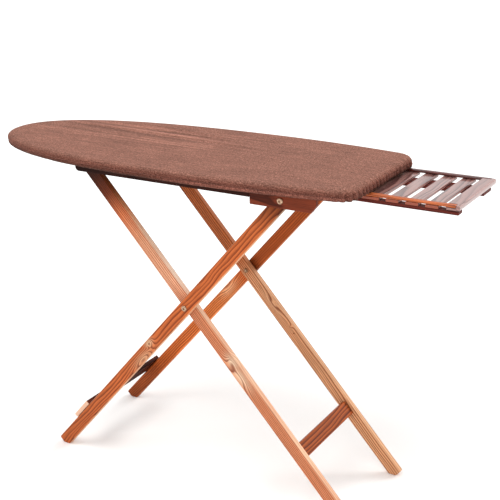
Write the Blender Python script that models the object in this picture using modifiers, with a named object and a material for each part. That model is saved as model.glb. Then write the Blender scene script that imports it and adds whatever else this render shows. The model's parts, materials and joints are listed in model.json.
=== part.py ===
"""Folding wooden ironing board with a padded cover and a slatted iron rest that pulls out.

Metres, +Z up.  +X runs towards the iron rest, +Y towards the far side, and the floor is z = 0.
The two leg pairs cross at one horizontal axis, the cross axis.  Most places are worked out from it.
"""

import bmesh
import bpy
from math import cos, pi, radians, sin
from mathutils import Matrix, Vector

# ---- driving dimensions ------------------------------------------------------------------------
GAP = 0.0003                # between pieces that touch

# board outline, measured along X from the cross axis
NOSE_X = -0.670
WIDEST_X = 0.037
SQUARE_END_X = 0.472
HALF_WIDTH = 0.2205         # at the widest place
HALF_WIDTH_AT_END = 0.183
CORNER_RADIUS = 0.048
CORNER_POWER = 2.2
NOSE_LENGTH_POWER = 2.65
NOSE_WIDTH_POWER = 2.15
NOSE_STEPS = 30
CORNER_STEPS = 8
SIDE_STEPS = 7

# board layers, measured up from the cross axis
PANEL_BOTTOM = 0.3505
PANEL_THICKNESS = 0.012
PAD_THICKNESS = 0.0094
COVER_THICKNESS = 0.0012
COVER_TOP_RADIUS = 0.008
COVER_HEM_RADIUS = 0.0024
HEM_LIP = 0.012             # how far the hem turns in under the panel

# leg frames
LEG_ANGLE = radians(48.2)   # from the floor, both pairs
CROSS_HEIGHT = 0.517        # of the cross axis above the floor
ARM = 0.443                 # from the cross axis to the upper pivot, on both pairs
LEG_WIDTH = 0.036
LEG_THICKNESS = 0.018
LEG_ROUNDING = 0.0035
OUTER_FACE = 0.1695         # outer face of the outer legs
LEG_SPACING = 0.002         # between outer and inner legs, and between leg and block
TOE_DROP = 0.020            # length of the bevel cut on the toe
TOE_INSET = 0.016           # how far the toe cut reaches across the foot

OUTER_STRETCHER_S = (-0.577, -0.505)    # along the outer legs, from the cross axis
OUTER_STRETCHER_THICKNESS = 0.012
INNER_STRETCHER_S = (-0.487, -0.447)    # along the inner legs
INNER_STRETCHER_THICKNESS = 0.018
TOP_BAR_RADIUS = 0.008

# pivot blocks, runners and racks
BLOCK_X = (0.213, 0.388)
BLOCK_BOTTOM = 0.312
BLOCK_THICKNESS = 0.012
BLOCK_CUT = (0.013, 0.018)  # sloping cut on the lower corner at the square end
RUNNER_X = (-0.311, 0.2127)
RUNNER_BOTTOM = 0.3285
RACK_HALF_SPACING = 0.116
RACK_THICKNESS = 0.020
RACK_CLEARANCE = 0.0005     # between the top bar and the teeth
NOTCH_PITCH = 0.030
NOTCH_COUNT = 4
NOTCH_WIDTH = 0.018
NOTCH_DEPTH = 0.008

# bolts
BOLT_HEAD_RADIUS = 0.008
BOLT_HEAD_HEIGHT = 0.0035
BOLT_RADIUS = 0.003
BOLT_HOLE_RADIUS = 0.0033
SOCKET_RADIUS = 0.0024
NUT_RADIUS = 0.0065
NUT_DEPTH = 0.006
WASHER_RADIUS = 0.010
WASHER_THICKNESS = 0.0014
SCREW_HEAD = 0.0038
SCREW_SHANK = 0.0019
SCREW_SINK = 0.0006
SCREW_TAPER = 0.0024
SCREW_LENGTH = 0.0105

# iron rest, measured from the cross axis
REST_Y = (-0.0915, 0.1495)
REST_END_X = 0.689
RAIL_BOTTOM = 0.3252
RAIL_THICKNESS = 0.008
RAIL_WIDTH_NEAR = 0.024
RAIL_WIDTH_FAR = 0.052
RAIL_INSET_FAR = 0.0295
RAIL_END_X = 0.687
SLAT_THICKNESS = 0.007
SLAT_WIDTH = 0.031
SLAT_GAP = 0.0162
SLAT_COUNT = 6
WIDE_SLAT = 4               # the one at the board's edge, which closes the gap behind it
WIDE_SLAT_EXTRA = 0.014
END_BAR_X = 0.6562
STRIP_WIDTH = 0.013
STRIP_TOP = 0.3475
STRIP_END_X = 0.680
GUIDE_THICKNESS = 0.008
GUIDE_X = (0.318, 0.405)
STRAP_THICKNESS = 0.003
STRAP_WIDTH = 0.022
STRAP_CLEARANCE = 0.0005    # between the straps and the rest's rails
STOP_LENGTH = 0.012
STOP_Y = (0.008, 0.048)

# ---- worked-out places ---------------------------------------------------------------------------
X0 = -(NOSE_X + REST_END_X) / 2     # puts the origin under the middle of the whole object
Z0 = CROSS_HEIGHT
CROSS = Vector((X0, 0, Z0))
PIVOT = CROSS + Vector((ARM * cos(LEG_ANGLE), 0, ARM * sin(LEG_ANGLE)))
TOP_BAR = CROSS + Vector((-ARM * cos(LEG_ANGLE), 0, ARM * sin(LEG_ANGLE)))
OUTER_MID = OUTER_FACE - LEG_THICKNESS / 2
INNER_FACE = OUTER_FACE - LEG_THICKNESS - LEG_SPACING
INNER_MID = INNER_FACE - LEG_THICKNESS / 2
BLOCK_MID = OUTER_FACE + LEG_SPACING + BLOCK_THICKNESS / 2
SIDES = (("near", -1), ("far", 1))


# ---- scene, collections and materials ----------------------------------------------------------
def clear_scene():
    for obj in list(bpy.data.objects):
        bpy.data.objects.remove(obj, do_unlink=True)


def new_collection(name):
    collection = bpy.data.collections.new(name)
    bpy.context.scene.collection.children.link(collection)
    return collection


def make_material(name, color, roughness, metallic=0.0):
    material = bpy.data.materials.new(name)
    material.use_nodes = True
    shader = material.node_tree.nodes["Principled BSDF"]
    shader.inputs["Base Color"].default_value = (*color, 1.0)
    shader.inputs["Roughness"].default_value = roughness
    shader.inputs["Metallic"].default_value = metallic
    return material


clear_scene()
PARTS = new_collection("ironing_board")
CUTTERS = new_collection("cutters")

PINE = (0.42, 0.14, 0.06)
DARK_PINE = (0.20, 0.07, 0.035)
PLYWOOD = (0.48, 0.33, 0.20)
FELT = (0.62, 0.60, 0.56)
CLOTH = (0.25, 0.13, 0.10)
BRASS = (0.72, 0.55, 0.34)
NYLON = (0.75, 0.73, 0.68)
STEEL = (0.45, 0.45, 0.46)


# ---- building blocks -----------------------------------------------------------------------------
def add_object(name, mesh, color, roughness=0.5, metallic=0.0):
    """Put a mesh in the scene as one named sub-part with its own material."""
    obj = bpy.data.objects.new(name, mesh)
    mesh.materials.clear()
    mesh.materials.append(make_material(name, color, roughness, metallic))
    PARTS.objects.link(obj)
    return obj


def add_axis(name, place, parent=None):
    """An empty on a joint's axis, which carries the pieces that move about it."""
    empty = bpy.data.objects.new(name, None)
    empty.empty_display_size = 0.05
    PARTS.objects.link(empty)
    empty.location = place - parent.location if parent else place
    empty.parent = parent
    return empty


def attach(obj, axis):
    """Parent a piece to an axis empty and keep it where it is."""
    place = Vector((0, 0, 0))
    link = axis
    while link:
        place += link.location
        link = link.parent
    obj.parent = axis
    obj.location -= place


def box_mesh(name, size):
    bm = bmesh.new()
    bmesh.ops.create_cube(bm, size=1.0)
    bmesh.ops.scale(bm, vec=size, verts=bm.verts)
    mesh = bpy.data.meshes.new(name)
    bm.to_mesh(mesh)
    bm.free()
    return mesh


def add_box(name, x, y, z, color, rounding=0.0015):
    """A batten between two values on each axis, with its edges eased."""
    size = (x[1] - x[0], y[1] - y[0], z[1] - z[0])
    obj = add_object(name, box_mesh(name, size), color)
    obj.location = ((x[0] + x[1]) / 2, (y[0] + y[1]) / 2, (z[0] + z[1]) / 2)
    if rounding:
        add_bevel(obj, rounding, 2)
    return obj


def add_bevel(obj, width, segments, limit="ANGLE"):
    bevel = obj.modifiers.new("eased_edges", "BEVEL")
    bevel.width = width
    bevel.segments = segments
    bevel.limit_method = limit
    bevel.angle_limit = radians(35)
    return bevel


def plate_mesh(name, outline, thickness):
    """A flat plate from a 2D outline, with the outline in XY and the thickness along Z."""
    curve = bpy.data.curves.new(name, "CURVE")
    curve.dimensions = "2D"
    curve.fill_mode = "BOTH"
    curve.extrude = thickness / 2
    spline = curve.splines.new("POLY")
    spline.points.add(len(outline) - 1)
    for point, (x, y) in zip(spline.points, outline):
        point.co = (x, y, 0, 1)
    spline.use_cyclic_u = True
    carrier = bpy.data.objects.new(name, curve)
    bpy.context.scene.collection.objects.link(carrier)
    bpy.context.view_layer.update()
    evaluated = carrier.evaluated_get(bpy.context.evaluated_depsgraph_get())
    mesh = bpy.data.meshes.new_from_object(evaluated)
    bpy.data.objects.remove(carrier, do_unlink=True)
    bpy.data.curves.remove(curve)
    bm = bmesh.new()
    bm.from_mesh(mesh)
    bmesh.ops.remove_doubles(bm, verts=bm.verts, dist=0.00001)
    bmesh.ops.dissolve_limit(bm, angle_limit=radians(0.5), verts=bm.verts, edges=bm.edges)
    bmesh.ops.recalc_face_normals(bm, faces=bm.faces)
    bm.to_mesh(mesh)
    bm.free()
    return mesh


def upright(mesh):
    """Turn a plate so that its outline lies in XZ and its thickness along Y."""
    mesh.transform(Matrix.Rotation(pi / 2, 4, "X"))
    return mesh


def rounded_outline(corners, steps=6):
    """Outline through corners (x, y, radius), with an arc at each corner that has a radius."""
    outline = []
    for index, (x, y, radius) in enumerate(corners):
        corner = Vector((x, y))
        if not radius:
            outline.append((x, y))
            continue
        before = (Vector(corners[index - 1][:2]) - corner).normalized()
        after = (Vector(corners[(index + 1) % len(corners)][:2]) - corner).normalized()
        half = before.angle(after) / 2
        centre = corner + (before + after).normalized() * (radius / sin(half))
        start = corner + before * (radius * cos(half) / sin(half)) - centre
        turn = (pi - 2 * half) * (1 if before.cross(after) < 0 else -1)
        for step in range(steps + 1):
            spoke = Matrix.Rotation(turn * step / steps, 2) @ start
            outline.append(tuple(centre + spoke))
    return outline


def cut(obj, cutter):
    """Take a cutter's shape out of a piece."""
    boolean = obj.modifiers.new("cut", "BOOLEAN")
    boolean.operation = "DIFFERENCE"
    boolean.solver = "EXACT"
    boolean.object = cutter


def add_cutter(name, mesh):
    cutter = bpy.data.objects.new(name, mesh)
    cutter.hide_render = True
    cutter.display_type = "WIRE"
    CUTTERS.objects.link(cutter)
    return cutter


def round_cutter(name, radius, place, y):
    """A round bar along Y between two values of y, to bore holes with."""
    bm = bmesh.new()
    bmesh.ops.create_cone(bm, cap_ends=True, segments=32, radius1=radius, radius2=radius,
                          depth=y[1] - y[0])
    bmesh.ops.rotate(bm, cent=(0, 0, 0), matrix=Matrix.Rotation(pi / 2, 3, "X"), verts=bm.verts)
    mesh = bpy.data.meshes.new(name)
    bm.to_mesh(mesh)
    bm.free()
    cutter = add_cutter(name, mesh)
    cutter.location = (place.x, (y[0] + y[1]) / 2, place.z)
    return cutter


def box_cutter(name, x, y, z):
    size = (x[1] - x[0], y[1] - y[0], z[1] - z[0])
    cutter = add_cutter(name, box_mesh(name, size))
    cutter.location = ((x[0] + x[1]) / 2, (y[0] + y[1]) / 2, (z[0] + z[1]) / 2)
    return cutter


def profile_mesh(name, profile, closed=False):
    """Half a section of a turned piece.  The points are (radius, distance along the axis)."""
    mesh = bpy.data.meshes.new(name)
    edges = [(index, index + 1) for index in range(len(profile) - 1)]
    if closed:
        edges.append((len(profile) - 1, 0))
    mesh.from_pydata([(radius, 0, out) for radius, out in profile], edges, [])
    return mesh


def turn_profile(obj, steps):
    screw = obj.modifiers.new("turned", "SCREW")
    screw.axis = "Z"
    screw.steps = steps
    screw.render_steps = steps
    screw.use_merge_vertices = True
    screw.merge_threshold = 0.00001


def add_turned(name, profile, place, side, color, roughness, metallic, closed=False):
    """A turned piece about Y.  The profile's distances run outwards on the given side."""
    obj = add_object(name, profile_mesh(name, profile, closed), color, roughness, metallic)
    turn_profile(obj, 24)
    obj.rotation_euler = (-side * pi / 2, 0, 0)
    obj.location = place
    return obj


# ---- the board: panel, pad and cover -------------------------------------------------------------
def board_outline(inset=0.0):
    """The board's outline, anticlockwise, set in by the same distance all round."""
    side = []
    for step in range(NOSE_STEPS):
        turn = (pi / 2) * step / NOSE_STEPS
        x = WIDEST_X - (WIDEST_X - NOSE_X) * cos(turn) ** (2 / NOSE_LENGTH_POWER)
        side.append((x, -HALF_WIDTH * sin(turn) ** (2 / NOSE_WIDTH_POWER)))

    def taper(x):
        along = (x - WIDEST_X) / (SQUARE_END_X - WIDEST_X)
        return HALF_WIDTH - (HALF_WIDTH - HALF_WIDTH_AT_END) * along ** 2

    corner_x = SQUARE_END_X - CORNER_RADIUS
    for step in range(SIDE_STEPS):
        x = WIDEST_X + (corner_x - WIDEST_X) * step / SIDE_STEPS
        side.append((x, -taper(x)))
    for step in range(CORNER_STEPS + 1):
        turn = (pi / 2) * step / CORNER_STEPS
        x = corner_x + CORNER_RADIUS * sin(turn) ** (2 / CORNER_POWER)
        drop = CORNER_RADIUS * (1 - max(cos(turn), 0.0) ** (2 / CORNER_POWER))
        side.append((x, -taper(x) + drop))
    outline = side + [(x, -y) for x, y in reversed(side[1:])]
    if not inset:
        return outline
    moved = []
    for index, (x, y) in enumerate(outline):
        before = Vector(outline[index - 1])
        after = Vector(outline[(index + 1) % len(outline)])
        along = (after - before).normalized()
        moved.append((x - along.y * inset, y + along.x * inset))
    return moved


def add_panel_and_pad():
    inset = COVER_THICKNESS + 0.0004
    panel = add_object("ironing_panel", plate_mesh("ironing_panel", board_outline(inset),
                                                   PANEL_THICKNESS), PLYWOOD, 0.6)
    panel.location = (X0, 0, Z0 + PANEL_BOTTOM + PANEL_THICKNESS / 2)
    add_bevel(panel, 0.0015, 1)
    pad = add_object("felt_pad", plate_mesh("felt_pad", board_outline(inset), PAD_THICKNESS),
                     FELT, 0.95)
    pad_bottom = PANEL_BOTTOM + PANEL_THICKNESS + GAP
    pad.location = (X0, 0, Z0 + pad_bottom + PAD_THICKNESS / 2)
    weigh_rims(pad.data, top=1.0, bottom=0.0)
    add_bevel(pad, COVER_TOP_RADIUS - 0.0008, 3, "WEIGHT")
    return pad_bottom + PAD_THICKNESS


def weigh_rims(mesh, top, bottom):
    """Give the top and bottom rim edges of a plate their share of the bevel width."""
    bm = bmesh.new()
    bm.from_mesh(mesh)
    weight = bm.edges.layers.float.new("bevel_weight_edge")
    for edge in bm.edges:
        heights = [vert.co.z for vert in edge.verts]
        outside = any(abs(face.normal.z) < 0.5 for face in edge.link_faces)
        if abs(heights[0] - heights[1]) < 0.0001 and outside:
            edge[weight] = top if heights[0] > 0 else bottom
    bm.to_mesh(mesh)
    bm.free()


def add_cover(pad_top):
    """The fitted cover: top, side and a hem turned in under the panel, open below."""
    bottom = PANEL_BOTTOM - GAP - COVER_THICKNESS
    top = pad_top + GAP + COVER_THICKNESS
    mesh = plate_mesh("fabric_cover", board_outline(), top - bottom)
    bm = bmesh.new()
    bm.from_mesh(mesh)
    floor_face = min(bm.faces, key=lambda face: face.calc_center_median().z)
    bmesh.ops.inset_region(bm, faces=[floor_face], thickness=HEM_LIP, use_even_offset=True)
    bmesh.ops.delete(bm, geom=[floor_face], context="FACES")
    bm.to_mesh(mesh)
    bm.free()
    weigh_rims(mesh, top=1.0, bottom=COVER_HEM_RADIUS / COVER_TOP_RADIUS)
    cover = add_object("fabric_cover", mesh, CLOTH, 0.9)
    cover.location = (X0, 0, Z0 + (top + bottom) / 2)
    add_bevel(cover, COVER_TOP_RADIUS, 3, "WEIGHT")
    shell = cover.modifiers.new("cloth", "SOLIDIFY")
    shell.thickness = COVER_THICKNESS
    shell.offset = -1
    shell.use_even_offset = True


# ---- under the board: blocks, runners and racks -------------------------------------------------
def add_blocks_and_runners():
    top = PANEL_BOTTOM - GAP
    for label, side in SIDES:
        y = (side * BLOCK_MID - BLOCK_THICKNESS / 2, side * BLOCK_MID + BLOCK_THICKNESS / 2)
        outline = rounded_outline([
            (BLOCK_X[0], BLOCK_BOTTOM, 0.002),
            (BLOCK_X[1] - BLOCK_CUT[0], BLOCK_BOTTOM, 0.003),
            (BLOCK_X[1], BLOCK_BOTTOM + BLOCK_CUT[1], 0.003),
            (BLOCK_X[1], top, 0),
            (BLOCK_X[0], top, 0),
        ])
        mesh = upright(plate_mesh("pivot_block_" + label, outline, BLOCK_THICKNESS))
        block = add_object("pivot_block_" + label, mesh, DARK_PINE)
        block.location = (X0, side * BLOCK_MID, Z0)
        add_bevel(block, 0.0008, 1)
        cut(block, round_cutter("block_bore_" + label, BOLT_HOLE_RADIUS, PIVOT,
                                (y[0] - 0.01, y[1] + 0.01)))
        outline = rounded_outline([
            (RUNNER_X[0], RUNNER_BOTTOM, 0.010),
            (RUNNER_X[1], RUNNER_BOTTOM, 0.002),
            (RUNNER_X[1], top, 0),
            (RUNNER_X[0], top, 0),
        ])
        mesh = upright(plate_mesh("runner_" + label, outline, BLOCK_THICKNESS))
        runner = add_object("runner_" + label, mesh, DARK_PINE)
        runner.location = (X0, side * BLOCK_MID, Z0)
        add_bevel(runner, 0.0008, 1)


def add_racks():
    """Notched battens above the top bar.  Every notch takes the bar at one working height."""
    top = PANEL_BOTTOM - GAP
    teeth = TOP_BAR.z - Z0 + TOP_BAR_RADIUS + RACK_CLEARANCE
    bar_x = TOP_BAR.x - X0
    first = bar_x - NOTCH_PITCH * NOTCH_COUNT
    last = bar_x + NOTCH_PITCH
    outline = [(first, top), (first, teeth)]
    for index in range(NOTCH_COUNT - 1, -1, -1):
        middle = bar_x - NOTCH_PITCH * index
        outline += [
            (middle - NOTCH_WIDTH / 2, teeth),
            (middle - NOTCH_WIDTH / 2, teeth + NOTCH_DEPTH),
            (middle + NOTCH_WIDTH / 2, teeth + NOTCH_DEPTH),
            (middle + NOTCH_WIDTH / 2, teeth),
        ]
    outline += [(last, teeth), (last, top)]
    for label, side in SIDES:
        mesh = upright(plate_mesh("notch_rack_" + label, outline, RACK_THICKNESS))
        rack = add_object("notch_rack_" + label, mesh, DARK_PINE)
        rack.location = (X0, side * RACK_HALF_SPACING, Z0)


# ---- legs ----------------------------------------------------------------------------------------
def foot_reach(across):
    """How far down the leg the floor is, at a distance across the leg from its middle line."""
    return -(CROSS_HEIGHT + across * cos(LEG_ANGLE)) / sin(LEG_ANGLE)


def leg_outline(mirror):
    """A leg's side view: round top end about the upper pivot, and a foot cut flat to the floor."""
    half = LEG_WIDTH / 2
    heel = (foot_reach(-half), -half)
    tread = half - TOE_INSET - 0.004
    toe_floor = (foot_reach(tread), tread)
    toe_side = (foot_reach(half) + TOE_DROP, half)
    outline = [toe_side, toe_floor, heel]
    steps = 14
    for step in range(steps + 1):
        turn = -pi / 2 + pi * step / steps
        outline.append((ARM + half * cos(turn), half * sin(turn)))
    if mirror:
        outline = [(-x, y) for x, y in reversed(outline)]
    return outline


def add_leg(name, mirror, middle, axis):
    mesh = upright(plate_mesh(name, leg_outline(mirror), LEG_THICKNESS))
    leg = add_object(name, mesh, PINE)
    leg.location = (CROSS.x, middle, CROSS.z)
    leg.rotation_euler = (0, LEG_ANGLE if mirror else -LEG_ANGLE, 0)
    add_bevel(leg, LEG_ROUNDING, 2)
    attach(leg, axis)
    return leg


def along_leg(mirror, along, across, y):
    """A world point from its distance along and across a leg pair."""
    direction = -1 if mirror else 1
    x = direction * (along * cos(LEG_ANGLE) - across * sin(LEG_ANGLE))
    return CROSS + Vector((x, y, along * sin(LEG_ANGLE) + across * cos(LEG_ANGLE)))


def add_cross_piece(name, mirror, s, across, half_length, axis):
    """A batten across a leg pair, square to the legs."""
    size = (s[1] - s[0], 2 * half_length, across[1] - across[0])
    obj = add_object(name, box_mesh(name, size), PINE)
    obj.location = along_leg(mirror, sum(s) / 2, sum(across) / 2, 0)
    obj.rotation_euler = (0, LEG_ANGLE if mirror else -LEG_ANGLE, 0)
    add_bevel(obj, 0.002, 2)
    attach(obj, axis)
    return obj


def add_outer_pair(axis):
    half = LEG_WIDTH / 2
    for label, side in SIDES:
        leg = add_leg("outer_leg_" + label, False, side * OUTER_MID, axis)
        reach = (side * OUTER_MID - LEG_THICKNESS, side * OUTER_MID + LEG_THICKNESS)
        cut(leg, round_cutter("outer_cross_bore_" + label, BOLT_HOLE_RADIUS, CROSS, reach))
        cut(leg, round_cutter("outer_pivot_bore_" + label, BOLT_HOLE_RADIUS, PIVOT, reach))
        inside = side * (OUTER_FACE - LEG_THICKNESS)
        pocket = sorted((inside - side * 0.005, inside + side * (NUT_DEPTH + GAP)))
        cut(leg, round_cutter("nut_pocket_" + label, NUT_RADIUS + GAP, PIVOT, pocket))
    across = (half + GAP, half + GAP + OUTER_STRETCHER_THICKNESS)
    plank = add_cross_piece("outer_stretcher", False, OUTER_STRETCHER_S, across,
                            OUTER_FACE, axis)
    number = 0
    for _label, side in SIDES:
        for share in (0.25, 0.75):
            number += 1
            along = OUTER_STRETCHER_S[0] + share * (OUTER_STRETCHER_S[1] - OUTER_STRETCHER_S[0])
            place = along_leg(False, along, across[1], side * OUTER_MID)
            add_screw("stretcher_screw_%d" % number, plank, place, axis)


def add_screw(name, plank, place, axis):
    """A countersunk wood screw through the plank, its head just under the plank's face."""
    profile = [
        (0, -SCREW_SINK),
        (SCREW_HEAD, -SCREW_SINK),
        (SCREW_SHANK, -SCREW_SINK - SCREW_TAPER),
        (SCREW_SHANK, -SCREW_LENGTH),
        (0, -SCREW_LENGTH),
    ]
    bore = [
        (0, 0.002),
        (SCREW_HEAD + GAP, 0.002),
        (SCREW_HEAD + GAP, -SCREW_SINK - GAP),
        (SCREW_SHANK + GAP, -SCREW_SINK - SCREW_TAPER - GAP),
        (SCREW_SHANK + GAP, -SCREW_LENGTH - GAP),
        (0, -SCREW_LENGTH - GAP),
    ]
    screw = add_object(name, profile_mesh(name, profile), BRASS, 0.35, 1.0)
    cutter = add_cutter(name + "_bore", profile_mesh(name + "_bore", bore))
    for obj in (screw, cutter):
        turn_profile(obj, 16)
        obj.location = place
        obj.rotation_euler = (0, -LEG_ANGLE, 0)
    cut(plank, cutter)
    attach(screw, axis)


def add_inner_pair(axis):
    for label, side in SIDES:
        leg = add_leg("inner_leg_" + label, True, side * INNER_MID, axis)
        reach = (side * INNER_MID - LEG_THICKNESS, side * INNER_MID + LEG_THICKNESS)
        cut(leg, round_cutter("inner_cross_bore_" + label, BOLT_HOLE_RADIUS, CROSS, reach))
        cut(leg, round_cutter("top_bar_bore_" + label, TOP_BAR_RADIUS + GAP, TOP_BAR, reach))
    half = INNER_STRETCHER_THICKNESS / 2
    add_cross_piece("inner_stretcher", True, INNER_STRETCHER_S, (-half, half),
                    INNER_FACE - LEG_THICKNESS - GAP, axis)
    bm = bmesh.new()
    bmesh.ops.create_cone(bm, cap_ends=True, segments=32, radius1=TOP_BAR_RADIUS,
                          radius2=TOP_BAR_RADIUS, depth=2 * (INNER_FACE - GAP))
    bmesh.ops.rotate(bm, cent=(0, 0, 0), matrix=Matrix.Rotation(pi / 2, 3, "X"), verts=bm.verts)
    mesh = bpy.data.meshes.new("top_bar")
    bm.to_mesh(mesh)
    bm.free()
    bar = add_object("top_bar", mesh, PINE)
    bar.location = TOP_BAR
    mesh.shade_smooth()
    mesh.set_sharp_from_angle(angle=radians(40))
    attach(bar, axis)


# ---- bolts, nuts and washers ---------------------------------------------------------------------
def dome_profile(length):
    """A bolt: domed head with a round socket, and a plain shank of the given length."""
    profile = [(0, BOLT_HEAD_HEIGHT - 0.0022), (SOCKET_RADIUS, BOLT_HEAD_HEIGHT - 0.0022),
               (SOCKET_RADIUS, BOLT_HEAD_HEIGHT)]
    steps = 5
    for step in range(1, steps + 1):
        turn = (pi / 2) * step / steps
        radius = SOCKET_RADIUS + (BOLT_HEAD_RADIUS - SOCKET_RADIUS) * sin(turn)
        profile.append((radius, 0.0008 + (BOLT_HEAD_HEIGHT - 0.0008) * cos(turn)))
    profile += [(BOLT_HEAD_RADIUS, GAP), (BOLT_RADIUS, GAP), (BOLT_RADIUS, -length), (0, -length)]
    return profile


def ring_profile(inner, outer, low, high):
    return [(inner, high), (outer, high), (outer, low), (inner, low)]


def add_pivot_hardware(parent_axis_of_cross):
    block_outer = BLOCK_MID + BLOCK_THICKNESS / 2
    block_inner = BLOCK_MID - BLOCK_THICKNESS / 2
    leg_inner = OUTER_FACE - LEG_THICKNESS
    for label, side in SIDES:
        place = Vector((PIVOT.x, side * block_outer, PIVOT.z))
        add_turned("pivot_bolt_" + label, dome_profile(block_outer - leg_inner - 0.0005),
                   place, side, BRASS, 0.3, 1.0)
        place = Vector((PIVOT.x, side * leg_inner, PIVOT.z))
        add_turned("pivot_nut_" + label,
                   ring_profile(BOLT_RADIUS + GAP / 2, NUT_RADIUS, 0.0002, NUT_DEPTH),
                   place, side, BRASS, 0.3, 1.0, closed=True)
        place = Vector((PIVOT.x, side * (OUTER_FACE + block_inner) / 2, PIVOT.z))
        half = WASHER_THICKNESS / 2
        add_turned("pivot_washer_" + label,
                   ring_profile(BOLT_RADIUS + GAP, WASHER_RADIUS, -half, half),
                   place, side, NYLON, 0.5, 0.0, closed=True)
        shank = 2 * LEG_THICKNESS + LEG_SPACING + 0.004
        place = Vector((CROSS.x, side * OUTER_FACE, CROSS.z))
        bolt = add_turned("cross_bolt_" + label, dome_profile(shank), place, side,
                          BRASS, 0.3, 1.0)
        attach(bolt, parent_axis_of_cross)
        inner_side = INNER_FACE - LEG_THICKNESS
        place = Vector((CROSS.x, side * inner_side, CROSS.z))
        nut = add_turned("cross_nut_" + label,
                         ring_profile(BOLT_RADIUS + GAP / 2, NUT_RADIUS, -GAP - 0.0035, -GAP),
                         place, side, BRASS, 0.3, 1.0, closed=True)
        attach(nut, parent_axis_of_cross)
        place = Vector((CROSS.x, side * (OUTER_FACE - LEG_THICKNESS - LEG_SPACING / 2), CROSS.z))
        washer = add_turned("cross_washer_" + label,
                            ring_profile(BOLT_RADIUS + GAP, WASHER_RADIUS, -half, half),
                            place, side, NYLON, 0.5, 0.0, closed=True)
        attach(washer, parent_axis_of_cross)


# ---- iron rest -----------------------------------------------------------------------------------
def add_rest(axis):
    rail_top = RAIL_BOTTOM + RAIL_THICKNESS
    slat_bottom = rail_top + GAP
    slat_top = slat_bottom + SLAT_THICKNESS
    tail_x = END_BAR_X - (SLAT_COUNT + 1) * (SLAT_WIDTH + SLAT_GAP)
    pieces = []
    rails = {
        "near": (REST_Y[0], REST_Y[0] + RAIL_WIDTH_NEAR),
        "far": (REST_Y[1] - RAIL_INSET_FAR - RAIL_WIDTH_FAR, REST_Y[1] - RAIL_INSET_FAR),
    }
    for label, y in rails.items():
        pieces.append(add_box("rest_rail_" + label, (X0 + tail_x, X0 + RAIL_END_X), y,
                              (Z0 + RAIL_BOTTOM, Z0 + rail_top), DARK_PINE))
    for index in range(SLAT_COUNT):
        x = X0 + END_BAR_X - (index + 1) * (SLAT_WIDTH + SLAT_GAP)
        inner = x - WIDE_SLAT_EXTRA if index + 1 == WIDE_SLAT else x
        pieces.append(add_box("rest_slat_%d" % (index + 1), (inner, x + SLAT_WIDTH), REST_Y,
                              (Z0 + slat_bottom, Z0 + slat_top), DARK_PINE, 0.0012))
    end_bar = add_box("rest_end_bar", (X0 + END_BAR_X, X0 + REST_END_X), REST_Y,
                      (Z0 + slat_bottom, Z0 + STRIP_TOP), DARK_PINE, 0.004)
    tail_bar = add_box("rest_tail_bar", (X0 + tail_x, X0 + tail_x + SLAT_WIDTH), REST_Y,
                       (Z0 + slat_bottom, Z0 + STRIP_TOP), DARK_PINE)
    strips = {
        "near": (REST_Y[0], REST_Y[0] + STRIP_WIDTH),
        "far": (REST_Y[1] - STRIP_WIDTH, REST_Y[1]),
    }
    for label, y in strips.items():
        strip = add_box("rest_strip_" + label, (X0 + tail_x, X0 + STRIP_END_X), y,
                        (Z0 + slat_top + GAP, Z0 + STRIP_TOP), PINE, 0.0028)
        pieces.append(strip)
        seat_y = (y[0] - (GAP if label == "far" else 0.01), y[1] + (GAP if label == "near" else 0.01))
        seat_z = (Z0 + slat_top, Z0 + STRIP_TOP + 0.01)
        cut(end_bar, box_cutter("end_bar_seat_" + label,
                                (X0 + END_BAR_X - 0.01, X0 + STRIP_END_X + GAP), seat_y, seat_z))
        cut(tail_bar, box_cutter("tail_bar_seat_" + label,
                                 (X0 + tail_x - 0.01, X0 + tail_x + SLAT_WIDTH + 0.01),
                                 seat_y, seat_z))
    pieces += [end_bar, tail_bar]
    for piece in pieces:
        attach(piece, axis)
    return X0 + tail_x + SLAT_WIDTH, Z0 + slat_top


def add_rest_guides(tail_end, slat_top):
    """Guides, steel straps and stop under the panel, which the rest slides through."""
    top = Z0 + PANEL_BOTTOM - GAP
    strap_top = Z0 + RAIL_BOTTOM - STRAP_CLEARANCE
    x = (X0 + GUIDE_X[0], X0 + GUIDE_X[1])
    near = (REST_Y[0] - 0.0005 - GUIDE_THICKNESS, REST_Y[0] - 0.0005)
    far = (REST_Y[1] + 0.005, REST_Y[1] + 0.005 + GUIDE_THICKNESS)
    add_box("rest_guide_near", x, near, (strap_top + GAP, top), DARK_PINE)
    add_box("rest_guide_far", x, far, (strap_top + GAP, top), DARK_PINE)
    strap_y = (near[0], far[1])
    strap_z = (strap_top - STRAP_THICKNESS, strap_top)
    add_box("rest_strap_rear", (x[0], x[0] + STRAP_WIDTH), strap_y, strap_z, STEEL, 0.0006)
    add_box("rest_strap_front", (x[1] - STRAP_WIDTH, x[1]), strap_y, strap_z, STEEL, 0.0006)
    add_box("rest_stop", (tail_end + 0.0005, tail_end + 0.0005 + STOP_LENGTH), STOP_Y,
            (slat_top + 0.0012, top), DARK_PINE)


# ---- assembly ------------------------------------------------------------------------------------
def build():
    fold_axis = add_axis("leg_fold_axis", PIVOT)
    cross_axis = add_axis("leg_cross_axis", CROSS, fold_axis)
    rest_axis = add_axis("iron_rest_axis", Vector((X0 + END_BAR_X, 0, Z0 + RAIL_BOTTOM)))
    pad_top = add_panel_and_pad()
    add_cover(pad_top)
    add_blocks_and_runners()
    add_racks()
    add_outer_pair(fold_axis)
    add_inner_pair(cross_axis)
    add_pivot_hardware(fold_axis)
    tail_end, slat_top = add_rest(rest_axis)
    add_rest_guides(tail_end, slat_top)
    bpy.context.view_layer.update()


build()
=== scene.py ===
"""The looks of a folding wooden ironing board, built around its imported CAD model."""

import json
from math import cos, exp, pi, radians, sin

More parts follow.
